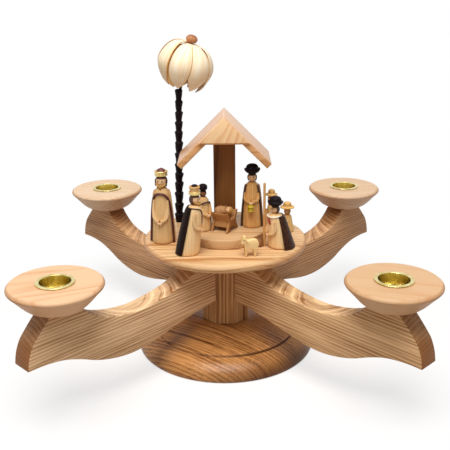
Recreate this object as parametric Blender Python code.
"""Advent candelabrum, in metres, +Z up.

A turned foot and an eight-sided post carry four sawn arms. Each arm ends in a turned plate with a
loose brass candle cup. A round stage on the post carries a stable, a palm and small turned figures.
The origin is the middle of the foot's underside, and the scene on the stage faces -Y.
"""
import math

import bmesh
import bpy
from mathutils import Matrix, Vector

for leftover in list(bpy.data.objects):
    bpy.data.objects.remove(leftover, do_unlink=True)

# Fits and facets
SEAT_GAP = 0.0003
HOLE_FIT = 0.0003
OVERRUN = 0.002
WELD = 0.000001
SHARP_ANGLE = math.radians(35)
LARGE_STEPS = 40
PLATE_STEPS = 28
CUP_STEPS = 20
FIGURE_STEPS = 12
ROD_STEPS = 10
EDGE_ROUND = 0.0008

# Foot: a turned dome with a fine step cut round it
FOOT_RADIUS = 0.0762
FOOT_HEIGHT = 0.0245
FOOT_STEP_RADIUS = 0.0610
FOOT_STEP_DEPTH = 0.0007
FOOT_SEAT_RADIUS = 0.0250
FOOT_RIM_SHARES = ((0.985, 0.0), (1.0, 0.06), (0.993, 0.20), (0.955, 0.385), (0.885, 0.545))
FOOT_STEP_HEIGHT_SHARE = 0.665
FOOT_CROWN_SHARES = ((0.55, 0.50), (0.20, 0.86))

# Eight-sided post
POST_FLATS = 0.0395
POST_HEIGHT = 0.0662
POST_SIDES = 8

# Shapes of all the screws, as shares of the shank's radius
SCREW_POINT_SHARE = 0.3
SCREW_TAPER_SHARE = 2.0

# Screw that draws the foot onto the post
FOOT_SCREW_RADIUS = 0.0025
FOOT_SCREW_HEAD_RADIUS = 0.0055
FOOT_SCREW_HEAD_HEIGHT = 0.0030
FOOT_SCREW_LENGTH = 0.0500
FOOT_SCREW_RECESS = 0.0020

# Stage disc and the smaller step disc on it
STAGE_LEDGE = 0.0340
STAGE_THICKNESS = 0.0076
STAGE_EDGE_SHARES = ((0.955, 0.0), (0.985, 0.12), (1.0, 0.48), (0.993, 0.74), (0.975, 0.92), (0.948, 1.0))
STEP_RADIUS = 0.0350
STEP_THICKNESS = 0.0076
STEP_EDGE = 0.0008
STAGE_RADIUS = STEP_RADIUS + STAGE_LEDGE

# Arms: sawn planks, dowelled to the slanting sides of the post
ARM_THICKNESS = 0.0180
ARM_REACH = 0.1998
ARM_TAIL_HEIGHT = 0.0474
ARM_BELLY_HEIGHT = 0.0330
ARM_TIP_HEIGHT = 0.0526
ARM_SADDLE_HEIGHT = 0.0664
ARM_SEAT_HEIGHT = 0.0872
ARM_SEAT_LENGTH = 0.0280
ARM_ANGLES = {"front_right": -45, "back_right": 45, "back_left": 135, "front_left": 225}
ARM_FALL_SHARES = ((0.06, 0.93), (0.20, 0.49), (0.36, 0.17), (0.58, 0.0))
ARM_RISE_SHARES = ((0.74, 0.08), (0.88, 0.34), (0.965, 0.74))
ARM_NOSE_SHARES = ((0.27, 0.84), (0.55, 0.65), (0.77, 0.48), (0.93, 0.24))
ARM_TIP_SHARES = ((0.075, 1.0), (0.16, 0.90), (0.24, 0.65), (0.32, 0.32), (0.41, 0.09))
ARM_BELLY_SHARES = ((0.50, 0.0), (0.60, 0.10), (0.72, 0.42), (0.86, 0.76))
ARM_CURVE_STEPS = 2

# A long dowel through the post holds each pair of facing arms. The upper one clears the stage's dowel, and
# the lower one crosses below it.
ARM_DOWEL_RADIUS = 0.0040
ARM_DOWEL_GRIP = 0.0200
ARM_DOWEL_CLEARANCE = 0.0033
ARM_DOWEL_SPACING = 0.0025
ARM_PAIRS = {"lower": "front_right", "upper": "front_left"}

# Candle plates
PLATE_REACH = 0.16734
PLATE_RADIUS = 0.0345
PLATE_HEIGHT = 0.0198
PLATE_FOOT_RADIUS = 0.0145
PLATE_WALL_SHARES = ((0.40, 0.20), (0.83, 0.66), (0.96, 0.80), (1.0, 0.865), (0.985, 0.93), (0.91, 1.0))
PLATE_FLOOR = 0.0048

# Brass cups for household candles of 22 mm
CUP_BORE_RADIUS = 0.01125
CUP_WALL = 0.0008
CUP_FLANGE_WIDTH = 0.0028
CUP_FLANGE_THICKNESS = 0.0008
CUP_DEPTH = 0.0142

# Screws that hold the plates to the arms
PLATE_SCREW_RADIUS = 0.0017
PLATE_SCREW_HEAD_RADIUS = 0.0035
PLATE_SCREW_HEAD_HEIGHT = 0.0022
PLATE_SCREW_LENGTH = 0.0230

# One size of dowel joins the stage to the post and the stable post to the step disc
CENTRE_DOWEL_RADIUS = 0.0025
CENTRE_DOWEL_LENGTH = 0.0200
CENTRE_DOWEL_INSET = 0.0055

# Stable
STABLE_SETBACK = 0.0160
STABLE_POST_WIDTH = 0.0183
STABLE_POST_HEIGHT = 0.0734
ROOF_SETBACK = 0.0070
ROOF_HALF_WIDTH = 0.0384
ROOF_DEPTH = 0.0488
ROOF_BOARD_THICKNESS = 0.0052
ROOF_RISE = 0.0221
GABLE_THICKNESS = 0.0027
GABLE_DROP = 0.0204

# Palm: a trunk turned in rings, with a ball of curved shavings on a leaning peg
PALM_BEARING = 138.07
PALM_CLEARANCE = 0.01628
PALM_TRUNK_HEIGHT = 0.1184
PALM_TRUNK_LEAN = 1.4
PALM_FOOT_RADIUS = 0.0041
PALM_TOP_RADIUS = 0.0033
PALM_RINGS = 13
PALM_WAIST_SHARE = 0.72
PALM_LIP_SHARE = 0.16
PALM_TENON_RADIUS = 0.0016
PALM_TENON_LENGTH = 0.0035
PEG_RADIUS = 0.0012
PEG_DEPTH = 0.0050
PEG_OFFSET = 0.0013
PEG_LEAN = 14.6
PEG_BARE_LENGTH = 0.0010
COLLAR_WALL = 0.0011
COLLAR_MARGIN = 0.0002
BALL_RADIUS = 0.0229
BALL_HALF_HEIGHT = 0.0188
SHAVING_THICKNESS = 0.0008
SHAVING_LAYER_GAP = 0.0006
OUTER_SHAVINGS = ((-59, 27, 143), (18, 45, 138), (103, 33, 146), (175, 32, 140), (239, 27, 150))
INNER_SHAVINGS = ((-30, 35, 152), (66, 34, 150), (140, 34, 154), (230, 34, 150))
SHAVING_WIDTH_SHARES = (1.0, 1.0, 1.0, 1.0, 0.97, 0.84, 0.45)
SHAVING_ACROSS = 3
BEAD_RADIUS = 0.0050
BEAD_HEIGHT = 0.0067
BEAD_SHARES = ((0.45, 0.0), (0.80, 0.12), (1.0, 0.42), (0.93, 0.66), (0.66, 0.89), (0.30, 0.99))
BEAD_HOLE_SHARE = 0.5

# Turned figures: the robe's outline as shares of its foot radius and height
ROBE_SHARES = ((0.96, 0.0), (1.0, 0.03), (0.90, 0.42), (0.72, 0.80), (0.60, 0.93), (0.40, 1.0))
CAPE_THICKNESS = 0.0013
CAPE_HEIGHT_SHARE = 0.90
CAPE_OPENING = 84
CAPE_STEPS = 10
SLEEVE_RADIUS = 0.0015
SLEEVE_SPREAD_SHARE = 0.75
SLEEVE_CURVE_STEPS = 2
HEAD_CAP_ANGLE = 58
HEAD_ARCS = 5

# Outlines of the headgear and small pieces, as shares of radius and height
BAND_CROWN_SHARES = ((0.86, 0.0), (1.0, 0.06), (1.0, 0.42), (0.80, 0.50), (0.52, 0.58), (0.44, 0.86))
TALL_CROWN_SHARES = ((0.88, 0.0), (1.0, 0.04), (1.0, 0.28), (0.90, 0.32), (0.92, 0.80), (0.44, 0.82),
                     (0.34, 0.95))
FLOPPY_HAT_SHARES = ((0.62, 0.0), (0.84, 0.20), (1.0, 0.44), (0.84, 0.68), (0.50, 0.92))
TURBAN_SHARES = ((0.70, 0.0), (1.0, 0.26), (1.0, 0.52), (0.74, 0.84))
STRAW_HAT_SHARES = ((0.96, 0.0), (1.0, 0.12), (0.58, 0.30), (0.52, 0.66), (0.30, 0.94))
LANTERN_SHARES = ((0.80, 0.0), (1.0, 0.16), (1.0, 0.66), (0.42, 0.88))
BUNDLE_SHARES = ((0.60, 0.0), (0.96, 0.26), (1.0, 0.50), (0.74, 0.84))

# How far the second king and the shepherd lean forward
BOW_ANGLE = 10

# Pieces on the stage stand at a bearing from +X, with a clearance to the step disc's edge
KING_1_BEARING = -165.57
KING_1_CLEARANCE = 0.00767
KING_1_FACING = -10
KING_1_ROBE_RADIUS = 0.0090
KING_1_ROBE_HEIGHT = 0.0470
KING_1_HEAD_RADIUS = 0.0052
KING_1_CROWN_RADIUS = 0.0053
KING_1_CROWN_HEIGHT = 0.0064
KING_1_SLEEVE_SHARES = ((0.88, 0.80), (0.83, 0.62), (0.55, 0.46), (0.0, 0.40))

KING_2_BEARING = -125.51
KING_2_CLEARANCE = 0.00531
KING_2_FACING = 62
KING_2_ROBE_RADIUS = 0.0090
KING_2_ROBE_HEIGHT = 0.0414
KING_2_HEAD_RADIUS = 0.0044
KING_2_CROWN_RADIUS = 0.0046
KING_2_CROWN_HEIGHT = 0.0083
KING_2_SLEEVE_SHARES = ((0.90, 0.84), (0.83, 0.68), (0.52, 0.55), (0.0, 0.52))

KING_3_SPOT = (-0.0178, -0.0075)
KING_3_FACING = 40
KING_3_ROBE_RADIUS = 0.0064
KING_3_ROBE_HEIGHT = 0.0286
KING_3_HEAD_RADIUS = 0.0032
KING_3_TURBAN_RADIUS = 0.0038
KING_3_TURBAN_HEIGHT = 0.0050

# This one stands on the step disc, with a clearance inside its edge
GUARDIAN_BEARING = 6.42
GUARDIAN_CLEARANCE = 0.00225
GUARDIAN_FACING = -8
GUARDIAN_ROBE_RADIUS = 0.0082
GUARDIAN_ROBE_HEIGHT = 0.0383
GUARDIAN_HEAD_RADIUS = 0.0042
GUARDIAN_HAT_RADIUS = 0.0067
GUARDIAN_HAT_HEIGHT = 0.0078
GUARDIAN_SLEEVE_SHARES = ((0.88, 0.78), (0.86, 0.66), (0.60, 0.60), (0.0, 0.58))
LANTERN_RADIUS = 0.0021
LANTERN_HEIGHT = 0.0062

SHEPHERD_BEARING = -30.85
SHEPHERD_CLEARANCE = 0.00695
SHEPHERD_FACING = -62
SHEPHERD_ROBE_RADIUS = 0.0094
SHEPHERD_ROBE_HEIGHT = 0.0288
SHEPHERD_HEAD_RADIUS = 0.0036
SHEPHERD_HAT_RADIUS = 0.0063
SHEPHERD_HAT_HEIGHT = 0.0076
SHEPHERD_SLEEVE_SHARES = ((0.88, 0.78), (0.84, 0.60), (0.55, 0.44), (0.0, 0.40))
STAFF_BEARING = -39.22
STAFF_CLEARANCE = 0.00538
STAFF_RADIUS = 0.00105
STAFF_HEIGHT = 0.0530
STAFF_HOLE_DEPTH = 0.0030

# Two small helpers, each turned in one piece with the head: bearing, clearance to the step disc's edge,
# robe radius, height to the hat, hat radius
HELPER_SHARES = ((0.95, 0.0), (1.0, 0.04), (0.76, 0.42), (0.58, 0.70), (0.40, 0.74), (0.60, 0.80),
                 (0.70, 0.88), (0.60, 0.96), (0.40, 1.0))
HELPERS = {"helper_1": (12.74, 0.00080, 0.0050, 0.0322, 0.0052),
           "helper_2": (10.61, 0.01373, 0.0056, 0.0206, 0.0062)}
STRAW_HAT_HEIGHT = 0.0052

# Manger, child, lamb and bundle
MANGER_SPOT = (-0.0004, -0.0070)
MANGER_TURN = -28
MANGER_LENGTH = 0.0160
MANGER_WIDTH = 0.0195
MANGER_HEIGHT = 0.0162
MANGER_SIDE_SHARES = ((0.0, 0.30), (0.36, 0.0), (0.50, 0.0), (0.26, 0.50), (0.48, 1.0), (0.37, 1.0),
                      (0.12, 0.62))
MANGER_ARCH_WIDTH = 0.0100
MANGER_ARCH_HEIGHT = 0.0033
CHILD_LENGTH = 0.0156
CHILD_RADIUS = 0.0047
CHILD_PITCH = 14
CHILD_FIT = 0.0006
CHILD_SHARES = ((0.45, 0.0), (0.80, 0.10), (1.0, 0.36), (0.78, 0.58), (0.62, 0.64), (0.84, 0.74),
                (0.88, 0.86), (0.60, 0.97))
LAMB_BEARING = -67.79
LAMB_CLEARANCE = 0.01435
LAMB_TURN = 8
LAMB_LENGTH = 0.0145
LAMB_HEIGHT = 0.0166
LAMB_THICKNESS = 0.0050
LAMB_SHARES = ((0.22, 0.0), (0.34, 0.0), (0.37, 0.34), (0.68, 0.34), (0.72, 0.0), (0.85, 0.0), (0.90, 0.36),
               (1.0, 0.58), (0.93, 0.76), (0.70, 0.82), (0.38, 0.78), (0.30, 0.96), (0.16, 1.0), (0.06, 0.86),
               (0.0, 0.66), (0.08, 0.60), (0.18, 0.62), (0.21, 0.44))
BUNDLE_BEARING = -44.59
BUNDLE_CLEARANCE = 0.00112
BUNDLE_RADIUS = 0.0032
BUNDLE_HEIGHT = 0.0088

# Heights, stacked up from the floor
POST_BOTTOM = FOOT_HEIGHT + SEAT_GAP
POST_TOP = POST_BOTTOM + POST_HEIGHT
STAGE_BOTTOM = POST_TOP + SEAT_GAP
STAGE_TOP = STAGE_BOTTOM + STAGE_THICKNESS
STEP_BOTTOM = STAGE_TOP + SEAT_GAP
STEP_TOP = STEP_BOTTOM + STEP_THICKNESS
STAGE_FLOOR = STAGE_TOP + SEAT_GAP
STEP_FLOOR = STEP_TOP + SEAT_GAP
STABLE_POST_TOP = STEP_FLOOR + STABLE_POST_HEIGHT
CEILING = STABLE_POST_TOP + SEAT_GAP
RIDGE = CEILING + ROOF_RISE
PLATE_BOTTOM = ARM_SEAT_HEIGHT + SEAT_GAP
PLATE_SCREW_LOW = PLATE_BOTTOM + PLATE_FLOOR - PLATE_SCREW_LENGTH
ARM_START = POST_FLATS / 2 + SEAT_GAP
STAGE_DOWEL_LOW = POST_TOP + CENTRE_DOWEL_INSET - CENTRE_DOWEL_LENGTH
UPPER_DOWEL_HEIGHT = STAGE_DOWEL_LOW - ARM_DOWEL_CLEARANCE - ARM_DOWEL_RADIUS
LOWER_DOWEL_HEIGHT = UPPER_DOWEL_HEIGHT - ARM_DOWEL_SPACING - 2 * ARM_DOWEL_RADIUS


def colour_look(name, colour, roughness, metallic=0.0):
    """Plain material with a linear base colour."""
    look = bpy.data.materials.new(name)
    look.use_nodes = True
    shader = look.node_tree.nodes["Principled BSDF"]
    shader.inputs["Base Color"].default_value = (*colour, 1.0)
    shader.inputs["Roughness"].default_value = roughness
    shader.inputs["Metallic"].default_value = metallic
    return look


ASH = colour_look("oiled ash", (0.46, 0.28, 0.13), 0.45)
PALE_WOOD = colour_look("pale turned wood", (0.82, 0.58, 0.34), 0.5)
DARK_WOOD = colour_look("walnut stained wood", (0.09, 0.03, 0.01), 0.5)
BLACK_WOOD = colour_look("black stained wood", (0.015, 0.008, 0.01), 0.6)
WARM_WOOD = colour_look("warm stained wood", (0.38, 0.18, 0.06), 0.5)
SHAVED_WOOD = colour_look("planed shaving", (0.85, 0.62, 0.33), 0.6)
BRASS = colour_look("pressed brass", (0.60, 0.42, 0.12), 0.25, 1.0)
GILT = colour_look("gold paint", (0.75, 0.55, 0.15), 0.3, 0.8)
STEEL = colour_look("zinc plated screw", (0.6, 0.6, 0.6), 0.35, 1.0)
STRAW = colour_look("straw coloured wood", (0.75, 0.48, 0.20), 0.7)


def scaled(shares, across, high, low=0.0, start=0.0):
    """Outline points from shares of a width and a height, counted from a start and a low level."""
    return [(start + a * across, low + b * high) for a, b in shares]


def between(a, b, c, d, t):
    """Value at share t of the way from b to c on a smooth curve that also heeds a and d."""
    bend = (2 * a - 5 * b + 4 * c - d) * t ** 2
    return (2 * b + (c - a) * t + bend + (3 * b - a - 3 * c + d) * t ** 3) / 2


def eased(points, steps):
    """Smooth run through the points, each stretch cut into equal steps."""
    ends = [points[0], *points, points[-1]]
    run = []
    for four in zip(ends, ends[1:], ends[2:], ends[3:]):
        for step in range(steps):
            run.append(tuple(between(*values, step / steps) for values in zip(*four)))
    run.append(tuple(points[-1]))
    return run


def radius_at(outline, height):
    """Radius of a turned outline at a height, read along its straight stretches."""
    for (low_radius, low), (high_radius, high) in zip(outline, outline[1:]):
        if low <= height <= high and high > low:
            return low_radius + (high_radius - low_radius) * (height - low) / (high - low)
    return outline[-1][0]


def placed(spot, height, turn=0.0, lean=0.0):
    """Frame that stands at a spot, turned about Z and then leaned towards its own front, -Y."""
    stand = Matrix.Translation((spot[0], spot[1], height))
    return stand @ Matrix.Rotation(math.radians(turn), 4, "Z") @ Matrix.Rotation(math.radians(lean), 4, "X")


def beside_step(bearing, radius, clearance):
    """Spot of a piece of that radius, clear of the step disc's edge; negative values put it inside."""
    turn = math.radians(bearing)
    reach = STEP_RADIUS + clearance + radius
    return reach * math.cos(turn), reach * math.sin(turn)


def staff_spot():
    """Where the staff stands in the stage."""
    return beside_step(STAFF_BEARING, STAFF_RADIUS, STAFF_CLEARANCE)


def add(name, bm, look, place=Matrix()):
    """Object from a finished mesh, smooth but for its sharp edges, with its own copy of the look."""
    mesh = bpy.data.meshes.new(name)
    bmesh.ops.recalc_face_normals(bm, faces=bm.faces)
    bm.to_mesh(mesh)
    bm.free()
    mesh.shade_smooth()
    mesh.set_sharp_from_angle(angle=SHARP_ANGLE)
    own = look.copy()
    own.name = name
    mesh.materials.append(own)
    piece = bpy.data.objects.new(name, mesh)
    piece.matrix_world = place
    bpy.context.collection.objects.link(piece)
    return piece


def combine(piece, tool, operation):
    """Boolean with a tool, which shows as wire and isn't a piece."""
    tool.hide_render = True
    tool.display_type = "WIRE"
    step = piece.modifiers.new(operation.lower(), "BOOLEAN")
    step.operation = operation
    step.solver = "EXACT"
    step.object = tool


def cut(piece, tool):
    """Take the tool's shape out of the piece."""
    combine(piece, tool, "DIFFERENCE")


def fuse(piece, tool):
    """Add the tool's shape to the piece."""
    combine(piece, tool, "UNION")


def turn_outline(bm, outline, steps, angle=math.tau):
    """Spin an outline of (radius, height) points about Z; one that keeps off the axis is a closed loop."""
    verts = [bm.verts.new((radius, 0, height)) for radius, height in outline]
    edges = [bm.edges.new(pair) for pair in zip(verts, verts[1:])]
    if outline[0][0] > 0:
        edges.append(bm.edges.new((verts[-1], verts[0])))
    whole = angle == math.tau
    start = verts + edges if whole else verts + edges + [bm.faces.new(verts)]
    bmesh.ops.spin(bm, geom=start, cent=(0, 0, 0), axis=(0, 0, 1), angle=angle, steps=steps, use_merge=whole)
    bmesh.ops.remove_doubles(bm, verts=bm.verts, dist=WELD)


def turned(name, outline, look, steps=FIGURE_STEPS, place=Matrix()):
    """Piece turned on a lathe."""
    bm = bmesh.new()
    turn_outline(bm, outline, steps)
    return add(name, bm, look, place)


def solid_outline(side):
    """Close a side outline to the axis at its bottom and top."""
    return [(0, side[0][1]), *side, (0, side[-1][1])]


def add_rod(bm, start, end, radius, steps=ROD_STEPS):
    """Round rod between two points."""
    start, end = Vector(start), Vector(end)
    run = end - start
    aim = run.to_track_quat("Z", "Y").to_matrix().to_4x4()
    place = Matrix.Translation((start + end) / 2) @ aim
    bmesh.ops.create_cone(bm, cap_ends=True, segments=steps, radius1=radius, radius2=radius,
                          depth=run.length, matrix=place)


def rod(name, start, end, radius, look, place=Matrix()):
    """Round rod as a piece, or as a drill."""
    bm = bmesh.new()
    add_rod(bm, start, end, radius)
    return add(name, bm, look, place)


def sawn(name, outline, thickness, look, place=Matrix(), edge=0.0):
    """Board sawn to an outline in its XZ plane, half its thickness each side of it."""
    bm = bmesh.new()
    face = bm.faces.new([bm.verts.new((x, thickness / 2, z)) for x, z in outline])
    grown = bmesh.ops.extrude_face_region(bm, geom=[face])
    far = [item for item in grown["geom"] if isinstance(item, bmesh.types.BMVert)]
    bmesh.ops.translate(bm, verts=far, vec=(0, -thickness, 0))
    piece = add(name, bm, look, place)
    if edge:
        rounded = piece.modifiers.new("eased edges", "BEVEL")
        rounded.width = edge
        rounded.segments = 1
        rounded.limit_method = "ANGLE"
        rounded.angle_limit = math.radians(50)
    return piece


def screw_outline(shank, head, head_height, length):
    """Countersunk screw standing on its tip, head up."""
    point = shank * SCREW_POINT_SHARE
    taper = shank * SCREW_TAPER_SHARE
    return [(0, 0), (point, 0), (shank, taper), (shank, length - head_height), (head, length), (0, length)]


def build_foot():
    """Turned foot with its screw from below."""
    step_height = FOOT_HEIGHT * FOOT_STEP_HEIGHT_SHARE
    rim = scaled(FOOT_RIM_SHARES, FOOT_RADIUS, FOOT_HEIGHT)
    groove = [(FOOT_STEP_RADIUS + FOOT_STEP_DEPTH, step_height - FOOT_STEP_DEPTH),
              (FOOT_STEP_RADIUS, step_height - FOOT_STEP_DEPTH),
              (FOOT_STEP_RADIUS - FOOT_STEP_DEPTH, step_height + FOOT_STEP_DEPTH)]
    crown = scaled(FOOT_CROWN_SHARES, FOOT_STEP_RADIUS - FOOT_SEAT_RADIUS, FOOT_HEIGHT - step_height,
                   step_height, FOOT_SEAT_RADIUS)
    hole = FOOT_SCREW_RADIUS + HOLE_FIT
    head_hole = FOOT_SCREW_HEAD_RADIUS + HOLE_FIT
    bore = [(FOOT_SEAT_RADIUS, FOOT_HEIGHT), (hole, FOOT_HEIGHT),
            (hole, FOOT_SCREW_RECESS + FOOT_SCREW_HEAD_HEIGHT), (head_hole, FOOT_SCREW_RECESS),
            (head_hole, 0)]
    turned("foot_disc", rim + groove + crown + bore, ASH, LARGE_STEPS)
    screw = screw_outline(FOOT_SCREW_RADIUS, FOOT_SCREW_HEAD_RADIUS, FOOT_SCREW_HEAD_HEIGHT,
                          FOOT_SCREW_LENGTH)
    head_down = placed((0, 0), FOOT_SCREW_RECESS + FOOT_SCREW_LENGTH, lean=180)
    turned("foot_screw", screw, STEEL, ROD_STEPS, head_down)


def arm_frame(angle):
    """Frame of an arm: its X runs outwards along the arm."""
    return Matrix.Rotation(math.radians(angle), 4, "Z")


def arm_dowel(pair, spare=0.0):
    """Ends of the dowel of a pair of arms, lengthened by the spare length at both ends."""
    height = UPPER_DOWEL_HEIGHT if pair == "upper" else LOWER_DOWEL_HEIGHT
    reach = ARM_START + ARM_DOWEL_GRIP + spare
    frame = arm_frame(ARM_ANGLES[ARM_PAIRS[pair]])
    return frame @ Vector((-reach, 0, height)), frame @ Vector((reach, 0, height))


def build_post():
    """Eight-sided post, bored for the foot screw, the arms' dowels and the stage's dowel."""
    bm = bmesh.new()
    corner = POST_FLATS / 2 / math.cos(math.pi / POST_SIDES)
    place = placed((0, 0), POST_BOTTOM + POST_HEIGHT / 2, 180 / POST_SIDES)
    bmesh.ops.create_cone(bm, cap_ends=True, segments=POST_SIDES, radius1=corner, radius2=corner,
                          depth=POST_HEIGHT, matrix=place)
    post = add("centre_post", bm, ASH)
    screw_end = FOOT_SCREW_RECESS + FOOT_SCREW_LENGTH + SEAT_GAP
    cut(post, rod("foot_screw_hole", (0, 0, POST_BOTTOM - OVERRUN), (0, 0, screw_end),
                  FOOT_SCREW_RADIUS + HOLE_FIT, ASH))
    cut(post, rod("stage_dowel_hole", (0, 0, STAGE_DOWEL_LOW - SEAT_GAP), (0, 0, POST_TOP + OVERRUN),
                  CENTRE_DOWEL_RADIUS + HOLE_FIT, ASH))
    dowel_high = STAGE_DOWEL_LOW + CENTRE_DOWEL_LENGTH
    rod("stage_dowel", (0, 0, STAGE_DOWEL_LOW), (0, 0, dowel_high), CENTRE_DOWEL_RADIUS, PALE_WOOD)
    for pair in ARM_PAIRS:
        cut(post, rod("post_bore_" + pair, *arm_dowel(pair, SEAT_GAP), ARM_DOWEL_RADIUS + HOLE_FIT, ASH))


def arm_outline():
    """Side view of an arm, from the post's top corner outwards and back underneath."""
    seat_start = PLATE_REACH - ARM_SEAT_LENGTH / 2
    seat_end = PLATE_REACH + ARM_SEAT_LENGTH / 2 - OVERRUN
    span = seat_start - ARM_START
    fall = scaled(ARM_FALL_SHARES, span, POST_TOP - ARM_SADDLE_HEIGHT, ARM_SADDLE_HEIGHT, ARM_START)
    rise = scaled(ARM_RISE_SHARES, span, ARM_SEAT_HEIGHT - ARM_SADDLE_HEIGHT, ARM_SADDLE_HEIGHT, ARM_START)
    saddle = [(ARM_START, POST_TOP), *fall, *rise, (seat_start, ARM_SEAT_HEIGHT)]
    curl = scaled(ARM_NOSE_SHARES, ARM_REACH - seat_end, ARM_SEAT_HEIGHT - ARM_TIP_HEIGHT, ARM_TIP_HEIGHT,
                  seat_end)
    nose = [(seat_end, ARM_SEAT_HEIGHT), *curl, (ARM_REACH, ARM_TIP_HEIGHT)]
    length = ARM_REACH - ARM_START
    tip = scaled(ARM_TIP_SHARES, -length, ARM_TIP_HEIGHT - ARM_BELLY_HEIGHT, ARM_BELLY_HEIGHT, ARM_REACH)
    belly = scaled(ARM_BELLY_SHARES, -length, ARM_TAIL_HEIGHT - ARM_BELLY_HEIGHT, ARM_BELLY_HEIGHT, ARM_REACH)
    under = [(ARM_REACH, ARM_TIP_HEIGHT), *tip, *belly, (ARM_START, ARM_TAIL_HEIGHT)]
    curves = [eased(run, ARM_CURVE_STEPS) for run in (saddle, nose, under)]
    return curves[0] + curves[1][:-1] + curves[2]


def build_arms():
    """Four arms and the two dowels that hold them to the post."""
    outline = arm_outline()
    arms = {}
    for side, angle in ARM_ANGLES.items():
        frame = arm_frame(angle)
        arms[side] = sawn("arm_" + side, outline, ARM_THICKNESS, ASH, frame, EDGE_ROUND)
        low = (PLATE_REACH, 0, PLATE_SCREW_LOW - SEAT_GAP)
        high = (PLATE_REACH, 0, ARM_SEAT_HEIGHT + OVERRUN)
        cut(arms[side], rod("arm_screw_hole_" + side, low, high, PLATE_SCREW_RADIUS + HOLE_FIT, ASH, frame))
    for pair, side in ARM_PAIRS.items():
        rod("arm_dowel_" + pair, *arm_dowel(pair), ARM_DOWEL_RADIUS, PALE_WOOD)
        facing = [name for name, angle in ARM_ANGLES.items() if (angle - ARM_ANGLES[side]) % 180 == 0]
        bore = rod("arm_bore_" + pair, *arm_dowel(pair, SEAT_GAP), ARM_DOWEL_RADIUS + HOLE_FIT, ASH)
        for name in facing:
            cut(arms[name], bore)


def plate_outline():
    """Turned plate: bowl-shaped outside, flat top, bored for the cup and drilled for the screw."""
    wall = scaled(PLATE_WALL_SHARES, PLATE_RADIUS - PLATE_FOOT_RADIUS, PLATE_HEIGHT, 0, PLATE_FOOT_RADIUS)
    bore = CUP_BORE_RADIUS + CUP_WALL + HOLE_FIT
    hole = PLATE_SCREW_RADIUS + HOLE_FIT
    head = PLATE_SCREW_HEAD_RADIUS + HOLE_FIT
    inside = [(bore, PLATE_HEIGHT), (bore, PLATE_FLOOR), (head, PLATE_FLOOR),
              (hole, PLATE_FLOOR - PLATE_SCREW_HEAD_HEIGHT), (hole, 0)]
    return [(PLATE_FOOT_RADIUS, 0)] + wall + inside


def cup_outline():
    """Pressed cup with a flat flange that rests on the plate."""
    outer = CUP_BORE_RADIUS + CUP_WALL
    flange = CUP_BORE_RADIUS + CUP_FLANGE_WIDTH
    top = CUP_FLANGE_THICKNESS
    floor = top - CUP_DEPTH
    return [(0, floor - CUP_WALL), (outer, floor - CUP_WALL), (outer, 0), (flange, 0), (flange, top),
            (CUP_BORE_RADIUS, top), (CUP_BORE_RADIUS, floor), (0, floor)]


def build_candle_seats():
    """Plates, cups and screws at the arms' ends."""
    plate, cup = plate_outline(), cup_outline()
    screw = screw_outline(PLATE_SCREW_RADIUS, PLATE_SCREW_HEAD_RADIUS, PLATE_SCREW_HEAD_HEIGHT,
                          PLATE_SCREW_LENGTH)
    for side, angle in ARM_ANGLES.items():
        reach = arm_frame(angle) @ Vector((PLATE_REACH, 0, 0))
        turned("candle_plate_" + side, plate, PALE_WOOD, PLATE_STEPS, placed(reach, PLATE_BOTTOM))
        cup_height = PLATE_BOTTOM + PLATE_HEIGHT + SEAT_GAP
        turned("candle_cup_" + side, cup, BRASS, CUP_STEPS, placed(reach, cup_height))
        turned("plate_screw_" + side, screw, STEEL, ROD_STEPS, placed(reach, PLATE_SCREW_LOW))


def build_stage():
    """Stage disc and step disc, with the holes for what stands in them."""
    hole = CENTRE_DOWEL_RADIUS + HOLE_FIT
    edge = scaled(STAGE_EDGE_SHARES, STAGE_RADIUS, STAGE_THICKNESS)
    outline = [(0, CENTRE_DOWEL_INSET), (hole, CENTRE_DOWEL_INSET), (hole, 0), *edge, (0, STAGE_THICKNESS)]
    stage = turned("stage_disc", outline, PALE_WOOD, LARGE_STEPS, placed((0, 0), STAGE_BOTTOM))
    low = (*staff_spot(), STAGE_TOP - STAFF_HOLE_DEPTH)
    high = (*staff_spot(), STAGE_TOP + OVERRUN)
    cut(stage, rod("staff_hole", low, high, STAFF_RADIUS + HOLE_FIT, PALE_WOOD))
    cut(stage, rod("palm_hole", (0, 0, -PALM_TENON_LENGTH - SEAT_GAP), (0, 0, OVERRUN),
                   PALM_TENON_RADIUS + HOLE_FIT, PALE_WOOD, palm_frame()))
    side = [(STEP_RADIUS, 0), (STEP_RADIUS, STEP_THICKNESS - STEP_EDGE),
            (STEP_RADIUS - STEP_EDGE, STEP_THICKNESS)]
    step = turned("step_disc", solid_outline(side), PALE_WOOD, LARGE_STEPS, placed((0, 0), STEP_BOTTOM))
    low = (0, STABLE_SETBACK, STEP_FLOOR - CENTRE_DOWEL_INSET - SEAT_GAP)
    cut(step, rod("stable_dowel_hole", low, (0, STABLE_SETBACK, STEP_TOP + OVERRUN), hole, PALE_WOOD))


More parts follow.
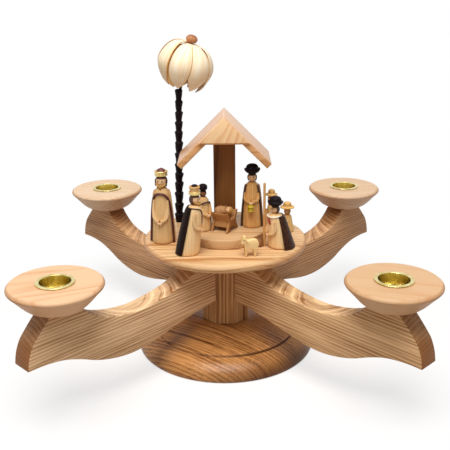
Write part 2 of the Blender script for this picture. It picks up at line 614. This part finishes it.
def build_stable():
    """Post on its dowel, the roof sawn from one block, and the gable board on its front."""
    width = STABLE_POST_WIDTH / 2
    square = [(-width, 0), (width, 0), (width, STABLE_POST_HEIGHT), (-width, STABLE_POST_HEIGHT)]
    stand = placed((0, STABLE_SETBACK), STEP_FLOOR)
    post = sawn("stable_post", square, STABLE_POST_WIDTH, DARK_WOOD, stand, EDGE_ROUND)
    low, high = -CENTRE_DOWEL_INSET, CENTRE_DOWEL_LENGTH - CENTRE_DOWEL_INSET
    cut(post, rod("stable_post_bore", (0, 0, -OVERRUN), (0, 0, high + SEAT_GAP),
                  CENTRE_DOWEL_RADIUS + HOLE_FIT, DARK_WOOD, stand))
    rod("stable_dowel", (0, 0, low), (0, 0, high), CENTRE_DOWEL_RADIUS, PALE_WOOD, stand)
    front = ROOF_SETBACK - ROOF_DEPTH / 2
    back_depth = ROOF_DEPTH - GABLE_THICKNESS - SEAT_GAP
    across = ROOF_BOARD_THICKNESS / math.sqrt(2)
    ceiling_half = ROOF_RISE - ROOF_BOARD_THICKNESS * math.sqrt(2)
    eave = (ROOF_HALF_WIDTH, RIDGE - ROOF_HALF_WIDTH)
    half = [eave, (eave[0] - across, eave[1] - across), (ceiling_half, CEILING)]
    outline = [(0, RIDGE)] + half + [(-x, z) for x, z in half[::-1]]
    roof_place = placed((0, front + ROOF_DEPTH - back_depth / 2), 0)
    sawn("roof_block", outline, back_depth, PALE_WOOD, roof_place, EDGE_ROUND)
    gable = [(0, RIDGE), (GABLE_DROP, RIDGE - GABLE_DROP), (-GABLE_DROP, RIDGE - GABLE_DROP)]
    sawn("gable_board", gable, GABLE_THICKNESS, PALE_WOOD, placed((0, front + GABLE_THICKNESS / 2), 0))


def palm_frame():
    """Frame of the trunk, leaning a little towards +X."""
    lean = Matrix.Rotation(math.radians(PALM_TRUNK_LEAN), 4, "Y")
    spot = beside_step(PALM_BEARING, PALM_FOOT_RADIUS, PALM_CLEARANCE)
    return Matrix.Translation((*spot, STAGE_FLOOR)) @ lean


def peg_frame():
    """Frame of the crown: origin where the peg leaves the trunk, Z along the peg."""
    top = palm_frame() @ Vector((PEG_OFFSET, 0, PALM_TRUNK_HEIGHT))
    return Matrix.Translation(top) @ Matrix.Rotation(math.radians(PEG_LEAN), 4, "Y")


def add_shaving(name, turn, half_angle, reach, ball_radius, ball_half_height, frame):
    """One shaving: a thin curved sheet from the collar outwards, down and back in."""
    start = math.asin((PEG_RADIUS + HOLE_FIT + COLLAR_WALL / 2) / ball_radius)
    rows = len(SHAVING_WIDTH_SHARES)
    bm = bmesh.new()
    grid = []
    for row, width_share in enumerate(SHAVING_WIDTH_SHARES):
        polar = start + (math.radians(reach) - start) * row / (rows - 1)
        line = []
        for column in range(SHAVING_ACROSS + 1):
            side = 2 * column / SHAVING_ACROSS - 1
            around = math.radians(turn + side * half_angle * width_share)
            flat = ball_radius * math.sin(polar)
            height = ball_half_height * math.cos(polar)
            line.append(bm.verts.new((flat * math.sin(around), -flat * math.cos(around), height)))
        grid.append(line)
    for upper, lower in zip(grid, grid[1:]):
        for column in range(SHAVING_ACROSS):
            bm.faces.new((upper[column], lower[column], lower[column + 1], upper[column + 1]))
    sheet = add(name, bm, SHAVED_WOOD, frame)
    shell = sheet.modifiers.new("thickness", "SOLIDIFY")
    shell.thickness = SHAVING_THICKNESS
    shell.offset = 0
    return sheet


def build_trunk():
    """Trunk turned in rings, each widest near its top, with a tenon below and a hole for the peg."""
    outline = [(0, -PALM_TENON_LENGTH), (PALM_TENON_RADIUS, -PALM_TENON_LENGTH), (PALM_TENON_RADIUS, 0)]
    ring_height = PALM_TRUNK_HEIGHT / PALM_RINGS
    for ring in range(PALM_RINGS):
        radius = PALM_FOOT_RADIUS + (PALM_TOP_RADIUS - PALM_FOOT_RADIUS) * ring / (PALM_RINGS - 1)
        low = ring * ring_height
        outline += [(radius * PALM_WAIST_SHARE, low), (radius, low + ring_height * (1 - PALM_LIP_SHARE))]
    outline += [(PALM_TOP_RADIUS * PALM_WAIST_SHARE, PALM_TRUNK_HEIGHT), (0, PALM_TRUNK_HEIGHT)]
    trunk = turned("palm_trunk", outline, BLACK_WOOD, ROD_STEPS, palm_frame())
    cut(trunk, rod("palm_peg_hole", (0, 0, -PEG_DEPTH - SEAT_GAP), (0, 0, OVERRUN), PEG_RADIUS + HOLE_FIT,
                   BLACK_WOOD, peg_frame()))


def build_palm_crown():
    """Shavings on a collar, held by the peg and capped by a bead."""
    frame = peg_frame()
    ball = frame @ Matrix.Translation((0, 0, PEG_BARE_LENGTH + BALL_HALF_HEIGHT))
    inset = SHAVING_THICKNESS + SHAVING_LAYER_GAP
    hole = PEG_RADIUS + HOLE_FIT
    low = BALL_HALF_HEIGHT - inset - SHAVING_THICKNESS / 2 - COLLAR_MARGIN
    high = BALL_HALF_HEIGHT + SHAVING_THICKNESS / 2 + COLLAR_MARGIN
    ring = [(hole, low), (hole + COLLAR_WALL, low), (hole + COLLAR_WALL, high), (hole, high)]
    crown = turned("palm_shavings", ring, SHAVED_WOOD, FIGURE_STEPS, ball)
    for number, (turn, half_angle, reach) in enumerate(OUTER_SHAVINGS):
        fuse(crown, add_shaving("outer_shaving_%d" % number, turn, half_angle, reach, BALL_RADIUS,
                                BALL_HALF_HEIGHT, ball))
    for number, (turn, half_angle, reach) in enumerate(INNER_SHAVINGS):
        fuse(crown, add_shaving("inner_shaving_%d" % number, turn, half_angle, reach, BALL_RADIUS - inset,
                                BALL_HALF_HEIGHT - inset, ball))
    bead_low = high + SEAT_GAP
    hole_top = BEAD_HEIGHT * BEAD_HOLE_SHARE
    side = scaled(BEAD_SHARES, BEAD_RADIUS, BEAD_HEIGHT)
    bead = [(0, hole_top), (hole, hole_top), (hole, 0), *side, (0, BEAD_HEIGHT)]
    turned("palm_bead", bead, WARM_WOOD, FIGURE_STEPS, ball @ Matrix.Translation((0, 0, bead_low)))
    foot = -PEG_DEPTH - PEG_BARE_LENGTH - BALL_HALF_HEIGHT
    rod("palm_peg", (0, 0, foot), (0, 0, bead_low + hole_top - SEAT_GAP), PEG_RADIUS, BLACK_WOOD, ball)


def robe_side(radius, height):
    """Side outline of a figure's robe."""
    return scaled(ROBE_SHARES, radius, height)


def add_cape(name, look, radius, height, place):
    """Coat as a thick shell round the back and sides of a robe, open in front."""
    top = height * CAPE_HEIGHT_SHARE
    side = robe_side(radius, height)
    outer = [(r + CAPE_THICKNESS, z) for r, z in side if z < top]
    outer.append((radius_at(side, top) + CAPE_THICKNESS, top))
    inner = [(r / 2, z) for r, z in (outer[-1], outer[0])]
    bm = bmesh.new()
    turn_outline(bm, outer + inner, CAPE_STEPS, math.radians(360 - 2 * CAPE_OPENING))
    start = Matrix.Rotation(math.radians(CAPE_OPENING - 90), 4, "Z")
    return add(name, bm, look, place @ start)


def add_sleeves(name, look, radius, height, shares, place, sunk=0.0):
    """Both sleeves as one bent tube on the robe: shares of the coat's opening and of the robe's height."""
    side = robe_side(radius, height)
    half = []
    for around, up in shares:
        level = up * height
        reach = radius_at(side, level) + SLEEVE_RADIUS + SEAT_GAP - sunk
        angle = math.radians(around * CAPE_OPENING * SLEEVE_SPREAD_SHARE)
        half.append((reach * math.sin(angle), -reach * math.cos(angle), level))
    path = eased([(-x, y, z) for x, y, z in half[:-1]] + half[::-1], SLEEVE_CURVE_STEPS)
    curve = bpy.data.curves.new(name, "CURVE")
    curve.dimensions = "3D"
    curve.bevel_depth = SLEEVE_RADIUS
    curve.bevel_resolution = 2
    curve.use_fill_caps = True
    spline = curve.splines.new("POLY")
    spline.points.add(len(path) - 1)
    for point, spot in zip(spline.points, path):
        point.co = (*spot, 1)
    guide = bpy.data.objects.new(name + "_guide", curve)
    bm = bmesh.new()
    bm.from_mesh(bpy.data.meshes.new_from_object(guide))
    bpy.data.objects.remove(guide)
    bmesh.ops.remove_doubles(bm, verts=bm.verts, dist=WELD)
    return add(name, bm, look, place)


def bow(piece, place):
    """Shear a piece towards its figure's front, with its foot left flat on the floor."""
    lean = Matrix()
    lean[1][2] = -math.tan(math.radians(BOW_ANGLE))
    to_figure = place.inverted() @ piece.matrix_world
    piece.data.transform(to_figure.inverted() @ lean @ to_figure)


def above_bowed(place, robe_height):
    """Frame over the shoulders of a figure that bows, upright like its head."""
    forward = -robe_height * math.tan(math.radians(BOW_ANGLE))
    return place @ Matrix.Translation((0, forward, 0))


def head_height(radius):
    """Height of a head between its two small flats."""
    return 2 * radius * math.sin(math.radians(HEAD_CAP_ANGLE))


def add_head(name, radius, low, place):
    """Turned head with a flat for the neck and one for the headgear."""
    arc = [math.radians(HEAD_CAP_ANGLE * (2 * step / HEAD_ARCS - 1)) for step in range(HEAD_ARCS + 1)]
    middle = head_height(radius) / 2
    side = [(radius * math.cos(a), middle + radius * math.sin(a)) for a in arc]
    return turned(name, solid_outline(side), PALE_WOOD, FIGURE_STEPS, place @ Matrix.Translation((0, 0, low)))


def add_topped(name, shares, radius, height, low, look, place):
    """Small turned piece standing at a height of its figure's frame."""
    side = scaled(shares, radius, height)
    side.append((side[-1][0] / 2, height))
    return turned(name, solid_outline(side), look, FIGURE_STEPS, place @ Matrix.Translation((0, 0, low)))


def add_body(name, robe_look, radius, height, place):
    """Turned robe with the coat carved round it."""
    body = turned(name + "_body", solid_outline(robe_side(radius, height)), robe_look, FIGURE_STEPS, place)
    coat = add_cape(name + "_coat", robe_look, radius, height, place)
    fuse(body, coat)
    return body, coat


def add_head_on(name, robe_height, head_radius, place):
    """Head on a robe; gives the height at which its headgear sits."""
    low = robe_height + SEAT_GAP
    add_head(name + "_head", head_radius, low, place)
    return low + head_height(head_radius) + SEAT_GAP


def build_kings():
    """Three kings."""
    spot = beside_step(KING_1_BEARING, KING_1_ROBE_RADIUS + CAPE_THICKNESS, KING_1_CLEARANCE)
    place = placed(spot, STAGE_FLOOR, KING_1_FACING)
    robe = (KING_1_ROBE_RADIUS, KING_1_ROBE_HEIGHT)
    add_body("king_1", PALE_WOOD, *robe, place)
    add_sleeves("king_1_arms", PALE_WOOD, *robe, KING_1_SLEEVE_SHARES, place)
    top = add_head_on("king_1", KING_1_ROBE_HEIGHT, KING_1_HEAD_RADIUS, place)
    add_topped("king_1_crown", BAND_CROWN_SHARES, KING_1_CROWN_RADIUS, KING_1_CROWN_HEIGHT, top, GILT, place)
    spot = beside_step(KING_2_BEARING, KING_2_ROBE_RADIUS + CAPE_THICKNESS, KING_2_CLEARANCE)
    place = placed(spot, STAGE_FLOOR, KING_2_FACING)
    robe = (KING_2_ROBE_RADIUS, KING_2_ROBE_HEIGHT)
    body, coat = add_body("king_2", PALE_WOOD, *robe, place)
    arms = add_sleeves("king_2_arms", PALE_WOOD, *robe, KING_2_SLEEVE_SHARES, place)
    for piece in (body, coat, arms):
        bow(piece, place)
    bowed = above_bowed(place, KING_2_ROBE_HEIGHT)
    top = add_head_on("king_2", KING_2_ROBE_HEIGHT, KING_2_HEAD_RADIUS, bowed)
    add_topped("king_2_crown", TALL_CROWN_SHARES, KING_2_CROWN_RADIUS, KING_2_CROWN_HEIGHT, top, GILT, bowed)
    place = placed(KING_3_SPOT, STEP_FLOOR, KING_3_FACING)
    turned("king_3_body", solid_outline(robe_side(KING_3_ROBE_RADIUS, KING_3_ROBE_HEIGHT)), WARM_WOOD,
           FIGURE_STEPS, place)
    top = add_head_on("king_3", KING_3_ROBE_HEIGHT, KING_3_HEAD_RADIUS, place)
    add_topped("king_3_turban", TURBAN_SHARES, KING_3_TURBAN_RADIUS, KING_3_TURBAN_HEIGHT, top, BLACK_WOOD,
               place)


def build_guardian():
    """Standing figure with a lantern, at the right of the manger."""
    half = GUARDIAN_ROBE_RADIUS + CAPE_THICKNESS
    spot = beside_step(GUARDIAN_BEARING, -half, -GUARDIAN_CLEARANCE)
    place = placed(spot, STEP_FLOOR, GUARDIAN_FACING)
    robe = (GUARDIAN_ROBE_RADIUS, GUARDIAN_ROBE_HEIGHT)
    add_body("guardian", WARM_WOOD, *robe, place)
    add_sleeves("guardian_arms", WARM_WOOD, *robe, GUARDIAN_SLEEVE_SHARES, place)
    top = add_head_on("guardian", GUARDIAN_ROBE_HEIGHT, GUARDIAN_HEAD_RADIUS, place)
    add_topped("guardian_hat", FLOPPY_HAT_SHARES, GUARDIAN_HAT_RADIUS, GUARDIAN_HAT_HEIGHT, top, BLACK_WOOD,
               place)
    hand = GUARDIAN_SLEEVE_SHARES[-1][1] * GUARDIAN_ROBE_HEIGHT - SLEEVE_RADIUS - SEAT_GAP
    low = hand - LANTERN_HEIGHT
    reach = radius_at(robe_side(*robe), low) + LANTERN_RADIUS + SEAT_GAP
    hung = place @ Matrix.Translation((0, -reach, 0))
    add_topped("lantern", LANTERN_SHARES, LANTERN_RADIUS, LANTERN_HEIGHT, low, GILT, hung)


def build_shepherd():
    """Bowing shepherd, his arms carved with his robe, and his staff."""
    spot = beside_step(SHEPHERD_BEARING, SHEPHERD_ROBE_RADIUS + CAPE_THICKNESS, SHEPHERD_CLEARANCE)
    place = placed(spot, STAGE_FLOOR, SHEPHERD_FACING)
    robe = (SHEPHERD_ROBE_RADIUS, SHEPHERD_ROBE_HEIGHT)
    body, coat = add_body("shepherd", PALE_WOOD, *robe, place)
    sunk = SLEEVE_RADIUS + SEAT_GAP
    arms = add_sleeves("shepherd_arms", PALE_WOOD, *robe, SHEPHERD_SLEEVE_SHARES, place, sunk)
    fuse(body, arms)
    for piece in (body, coat, arms):
        bow(piece, place)
    bowed = above_bowed(place, SHEPHERD_ROBE_HEIGHT)
    top = add_head_on("shepherd", SHEPHERD_ROBE_HEIGHT, SHEPHERD_HEAD_RADIUS, bowed)
    add_topped("shepherd_hat", FLOPPY_HAT_SHARES, SHEPHERD_HAT_RADIUS, SHEPHERD_HAT_HEIGHT, top, BLACK_WOOD,
               bowed)
    foot = STAGE_TOP - STAFF_HOLE_DEPTH + SEAT_GAP
    top = STAGE_FLOOR + STAFF_HEIGHT
    rod("shepherd_staff", (*staff_spot(), foot), (*staff_spot(), top), STAFF_RADIUS, WARM_WOOD)


def build_helpers():
    """Two small figures of one pattern in straw hats."""
    for name, (bearing, clearance, radius, height, hat_radius) in HELPERS.items():
        side = scaled(HELPER_SHARES, radius, height)
        place = placed(beside_step(bearing, radius, clearance), STAGE_FLOOR)
        turned(name + "_body", solid_outline(side), WARM_WOOD, FIGURE_STEPS, place)
        add_topped(name + "_hat", STRAW_HAT_SHARES, hat_radius, STRAW_HAT_HEIGHT, height + SEAT_GAP, STRAW,
                   place)


def build_manger():
    """Crib with crossed ends and a sloping trough, with the swaddled child in it."""
    frame = placed(MANGER_SPOT, STEP_FLOOR, MANGER_TURN)
    endwise = frame @ Matrix.Rotation(math.pi / 2, 4, "Z")
    half = scaled(MANGER_SIDE_SHARES, MANGER_WIDTH, MANGER_HEIGHT)
    outline = half + [(-x, z) for x, z in half[:0:-1]]
    crib = sawn("manger", outline, MANGER_LENGTH, WARM_WOOD, endwise)
    arch_half = MANGER_ARCH_WIDTH / 2
    arch = [(-arch_half, -OVERRUN), (arch_half, -OVERRUN), (arch_half, MANGER_ARCH_HEIGHT),
            (-arch_half, MANGER_ARCH_HEIGHT)]
    cut(crib, sawn("manger_arch", arch, MANGER_WIDTH + OVERRUN, WARM_WOOD, frame))
    (high_out, high), (low_out, low) = half[-2:]
    slope = math.atan2(high - low, high_out - low_out)
    pitch = math.radians(CHILD_PITCH)
    side = scaled(CHILD_SHARES, CHILD_RADIUS, CHILD_LENGTH, -CHILD_LENGTH / 2)
    side.append((side[-1][0] / 2, CHILD_LENGTH / 2))
    lifts = [(radius + CHILD_FIT) / math.cos(slope) - along * math.sin(pitch) for radius, along in side]
    seat = Matrix.Translation((0, 0, low - low_out * math.tan(slope) + max(lifts)))
    lying = Matrix.Rotation(math.pi / 2 - pitch, 4, "Y")
    turned("child", solid_outline(side), SHAVED_WOOD, FIGURE_STEPS, frame @ seat @ lying)


def build_animals():
    """Lamb, and the round bundle by the staff."""
    outline = scaled(LAMB_SHARES, LAMB_LENGTH, LAMB_HEIGHT, 0, -LAMB_LENGTH / 2)
    spot = beside_step(LAMB_BEARING, LAMB_THICKNESS / 2, LAMB_CLEARANCE)
    sawn("lamb", outline, LAMB_THICKNESS, STRAW, placed(spot, STAGE_FLOOR, LAMB_TURN), EDGE_ROUND)
    spot = beside_step(BUNDLE_BEARING, BUNDLE_RADIUS, BUNDLE_CLEARANCE)
    add_topped("bundle", BUNDLE_SHARES, BUNDLE_RADIUS, BUNDLE_HEIGHT, 0, WARM_WOOD,
               placed(spot, STAGE_FLOOR))


build_foot()
build_post()
build_arms()
build_candle_seats()
build_stage()
build_stable()
build_trunk()
build_palm_crown()
build_kings()
build_guardian()
build_shepherd()
build_helpers()
build_manger()
build_animals()
